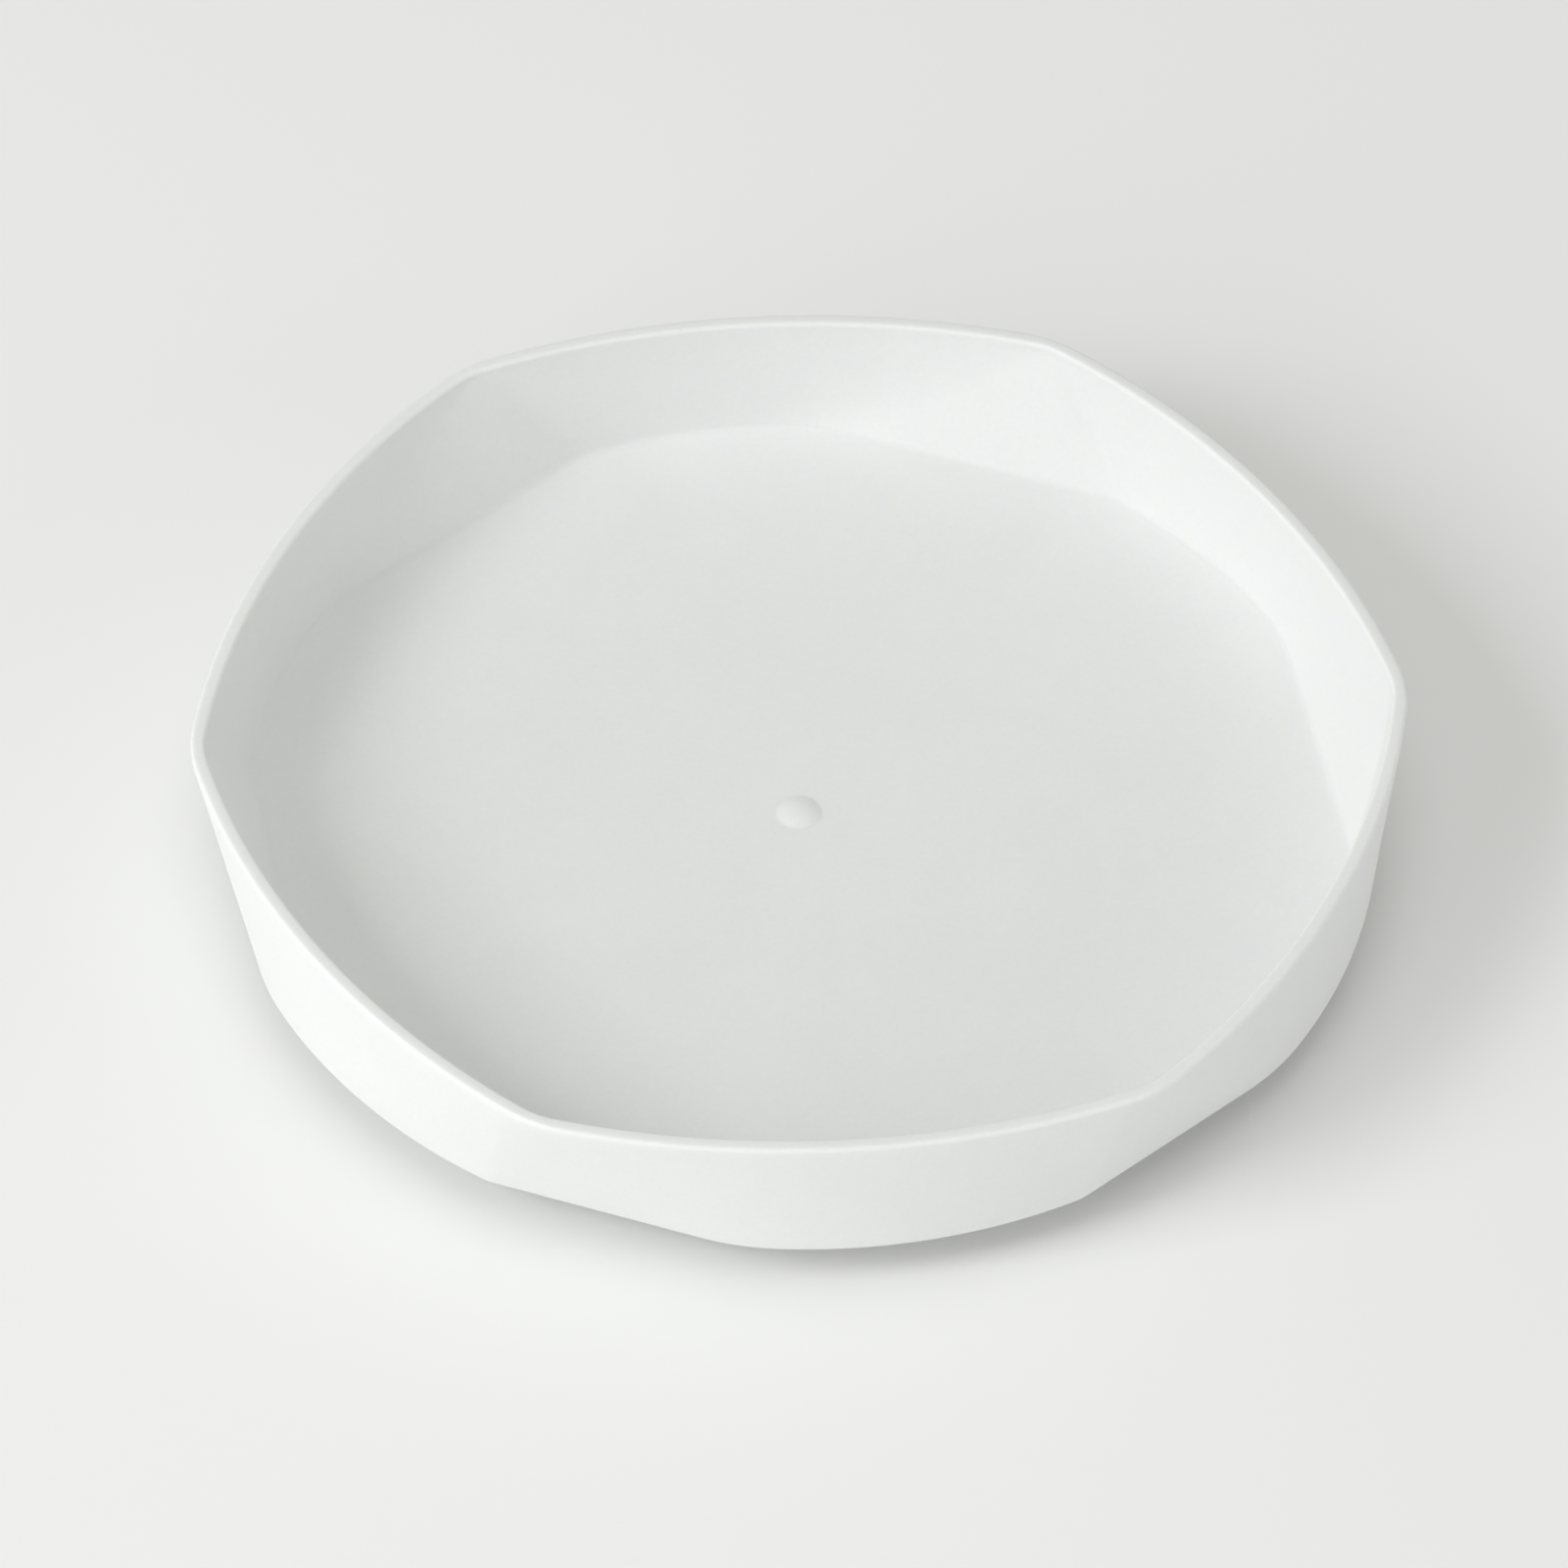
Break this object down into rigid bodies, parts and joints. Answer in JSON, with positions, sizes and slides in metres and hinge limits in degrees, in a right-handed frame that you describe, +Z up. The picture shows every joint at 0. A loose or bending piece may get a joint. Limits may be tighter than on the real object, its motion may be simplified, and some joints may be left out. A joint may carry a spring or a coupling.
{
  "type": "lazy susan turntable",
  "caption": "Shallow six-cornered white tray with a raised rim that spins freely on a low round base with a caged ball race.",
  "frame": {"origin": "on the spin axis, at the surface the turntable stands on", "axes": "+Z up along the spin axis, +X towards one rim corner of the tray at rest"},
  "size_m": [0.2786, 0.2672, 0.045],
  "materials": {
    "tray_plastic": "fine satin moulded white plastic",
    "base_plastic": "satin moulded white plastic",
    "cage_plastic": "natural acetal, satin",
    "ball_steel": "polished bearing steel",
    "fastener_steel": "zinc-plated steel",
    "pad_rubber": "soft grey thermoplastic rubber"
  },
  "bodies": {
    "base": {"base_plate": "base_plastic", "foot_1": "pad_rubber", "foot_2": "pad_rubber", "foot_3": "pad_rubber", "foot_4": "pad_rubber", "foot_5": "pad_rubber", "foot_6": "pad_rubber"},
    "tray": {"tray": "tray_plastic", "pivot_washer": "fastener_steel", "pivot_screw": "fastener_steel"},
    "cage": {"ball_cage": "cage_plastic"},
    "ball_01_body": {"ball_01": "ball_steel"},
    "ball_02_body": {"ball_02": "ball_steel"},
    "ball_03_body": {"ball_03": "ball_steel"},
    "ball_04_body": {"ball_04": "ball_steel"},
    "ball_05_body": {"ball_05": "ball_steel"},
    "ball_06_body": {"ball_06": "ball_steel"},
    "ball_07_body": {"ball_07": "ball_steel"},
    "ball_08_body": {"ball_08": "ball_steel"},
    "ball_09_body": {"ball_09": "ball_steel"},
    "ball_10_body": {"ball_10": "ball_steel"},
    "ball_11_body": {"ball_11": "ball_steel"},
    "ball_12_body": {"ball_12": "ball_steel"},
    "ball_13_body": {"ball_13": "ball_steel"},
    "ball_14_body": {"ball_14": "ball_steel"},
    "ball_15_body": {"ball_15": "ball_steel"},
    "ball_16_body": {"ball_16": "ball_steel"},
    "ball_17_body": {"ball_17": "ball_steel"},
    "ball_18_body": {"ball_18": "ball_steel"},
    "ball_19_body": {"ball_19": "ball_steel"},
    "ball_20_body": {"ball_20": "ball_steel"},
    "ball_21_body": {"ball_21": "ball_steel"},
    "ball_22_body": {"ball_22": "ball_steel"},
    "ball_23_body": {"ball_23": "ball_steel"},
    "ball_24_body": {"ball_24": "ball_steel"}
  },
  "joints": [
    {"name": "tray_spin", "type": "hinge", "parent": "base", "child": "tray", "pos_m": [0, 0, 0.0075], "axis": [0, 0, 1], "continuous": true},
    {"name": "cage_spin", "type": "hinge", "parent": "base", "child": "cage", "pos_m": [0, 0, 0.0075], "axis": [0, 0, 1], "continuous": true},
    {"name": "ball_01_roll", "type": "hinge", "parent": "cage", "child": "ball_01_body", "pos_m": [0.07, 0, 0.0075], "axis": [1, 0, 0], "continuous": true},
    {"name": "ball_02_roll", "type": "hinge", "parent": "cage", "child": "ball_02_body", "pos_m": [0.06761, 0.01812, 0.0075], "axis": [0.9659, 0.2588, 0], "continuous": true},
    {"name": "ball_03_roll", "type": "hinge", "parent": "cage", "child": "ball_03_body", "pos_m": [0.06062, 0.035, 0.0075], "axis": [0.866, 0.5, 0], "continuous": true},
    {"name": "ball_04_roll", "type": "hinge", "parent": "cage", "child": "ball_04_body", "pos_m": [0.0495, 0.0495, 0.0075], "axis": [0.7071, 0.7071, 0], "continuous": true},
    {"name": "ball_05_roll", "type": "hinge", "parent": "cage", "child": "ball_05_body", "pos_m": [0.035, 0.06062, 0.0075], "axis": [0.5, 0.866, 0], "continuous": true},
    {"name": "ball_06_roll", "type": "hinge", "parent": "cage", "child": "ball_06_body", "pos_m": [0.01812, 0.06761, 0.0075], "axis": [0.2588, 0.9659, 0], "continuous": true},
    {"name": "ball_07_roll", "type": "hinge", "parent": "cage", "child": "ball_07_body", "pos_m": [0, 0.07, 0.0075], "axis": [0, 1, 0], "continuous": true},
    {"name": "ball_08_roll", "type": "hinge", "parent": "cage", "child": "ball_08_body", "pos_m": [-0.01812, 0.06761, 0.0075], "axis": [-0.2588, 0.9659, 0], "continuous": true},
    {"name": "ball_09_roll", "type": "hinge", "parent": "cage", "child": "ball_09_body", "pos_m": [-0.035, 0.06062, 0.0075], "axis": [-0.5, 0.866, 0], "continuous": true},
    {"name": "ball_10_roll", "type": "hinge", "parent": "cage", "child": "ball_10_body", "pos_m": [-0.0495, 0.0495, 0.0075], "axis": [-0.7071, 0.7071, 0], "continuous": true},
    {"name": "ball_11_roll", "type": "hinge", "parent": "cage", "child": "ball_11_body", "pos_m": [-0.06062, 0.035, 0.0075], "axis": [-0.866, 0.5, 0], "continuous": true},
    {"name": "ball_12_roll", "type": "hinge", "parent": "cage", "child": "ball_12_body", "pos_m": [-0.06761, 0.01812, 0.0075], "axis": [-0.9659, 0.2588, 0], "continuous": true},
    {"name": "ball_13_roll", "type": "hinge", "parent": "cage", "child": "ball_13_body", "pos_m": [-0.07, 0, 0.0075], "axis": [-1, 0, 0], "continuous": true},
    {"name": "ball_14_roll", "type": "hinge", "parent": "cage", "child": "ball_14_body", "pos_m": [-0.06761, -0.01812, 0.0075], "axis": [-0.9659, -0.2588, 0], "continuous": true},
    {"name": "ball_15_roll", "type": "hinge", "parent": "cage", "child": "ball_15_body", "pos_m": [-0.06062, -0.035, 0.0075], "axis": [-0.866, -0.5, 0], "continuous": true},
    {"name": "ball_16_roll", "type": "hinge", "parent": "cage", "child": "ball_16_body", "pos_m": [-0.0495, -0.0495, 0.0075], "axis": [-0.7071, -0.7071, 0], "continuous": true},
    {"name": "ball_17_roll", "type": "hinge", "parent": "cage", "child": "ball_17_body", "pos_m": [-0.035, -0.06062, 0.0075], "axis": [-0.5, -0.866, 0], "continuous": true},
    {"name": "ball_18_roll", "type": "hinge", "parent": "cage", "child": "ball_18_body", "pos_m": [-0.01812, -0.06761, 0.0075], "axis": [-0.2588, -0.9659, 0], "continuous": true},
    {"name": "ball_19_roll", "type": "hinge", "parent": "cage", "child": "ball_19_body", "pos_m": [0, -0.07, 0.0075], "axis": [0, -1, 0], "continuous": true},
    {"name": "ball_20_roll", "type": "hinge", "parent": "cage", "child": "ball_20_body", "pos_m": [0.01812, -0.06761, 0.0075], "axis": [0.2588, -0.9659, 0], "continuous": true},
    {"name": "ball_21_roll", "type": "hinge", "parent": "cage", "child": "ball_21_body", "pos_m": [0.035, -0.06062, 0.0075], "axis": [0.5, -0.866, 0], "continuous": true},
    {"name": "ball_22_roll", "type": "hinge", "parent": "cage", "child": "ball_22_body", "pos_m": [0.0495, -0.0495, 0.0075], "axis": [0.7071, -0.7071, 0], "continuous": true},
    {"name": "ball_23_roll", "type": "hinge", "parent": "cage", "child": "ball_23_body", "pos_m": [0.06062, -0.035, 0.0075], "axis": [0.866, -0.5, 0], "continuous": true},
    {"name": "ball_24_roll", "type": "hinge", "parent": "cage", "child": "ball_24_body", "pos_m": [0.06761, -0.01812, 0.0075], "axis": [0.9659, -0.2588, 0], "continuous": true}
  ],
  "couplings": [
    {"joint": "cage_spin", "follows": "tray_spin", "ratio": 0.5},
    {"joint": "ball_01_roll", "follows": "tray_spin", "ratio": -11.667},
    {"joint": "ball_02_roll", "follows": "tray_spin", "ratio": -11.667},
    {"joint": "ball_03_roll", "follows": "tray_spin", "ratio": -11.667},
    {"joint": "ball_04_roll", "follows": "tray_spin", "ratio": -11.667},
    {"joint": "ball_05_roll", "follows": "tray_spin", "ratio": -11.667},
    {"joint": "ball_06_roll", "follows": "tray_spin", "ratio": -11.667},
    {"joint": "ball_07_roll", "follows": "tray_spin", "ratio": -11.667},
    {"joint": "ball_08_roll", "follows": "tray_spin", "ratio": -11.667},
    {"joint": "ball_09_roll", "follows": "tray_spin", "ratio": -11.667},
    {"joint": "ball_10_roll", "follows": "tray_spin", "ratio": -11.667},
    {"joint": "ball_11_roll", "follows": "tray_spin", "ratio": -11.667},
    {"joint": "ball_12_roll", "follows": "tray_spin", "ratio": -11.667},
    {"joint": "ball_13_roll", "follows": "tray_spin", "ratio": -11.667},
    {"joint": "ball_14_roll", "follows": "tray_spin", "ratio": -11.667},
    {"joint": "ball_15_roll", "follows": "tray_spin", "ratio": -11.667},
    {"joint": "ball_16_roll", "follows": "tray_spin", "ratio": -11.667},
    {"joint": "ball_17_roll", "follows": "tray_spin", "ratio": -11.667},
    {"joint": "ball_18_roll", "follows": "tray_spin", "ratio": -11.667},
    {"joint": "ball_19_roll", "follows": "tray_spin", "ratio": -11.667},
    {"joint": "ball_20_roll", "follows": "tray_spin", "ratio": -11.667},
    {"joint": "ball_21_roll", "follows": "tray_spin", "ratio": -11.667},
    {"joint": "ball_22_roll", "follows": "tray_spin", "ratio": -11.667},
    {"joint": "ball_23_roll", "follows": "tray_spin", "ratio": -11.667},
    {"joint": "ball_24_roll", "follows": "tray_spin", "ratio": -11.667}
  ]
}
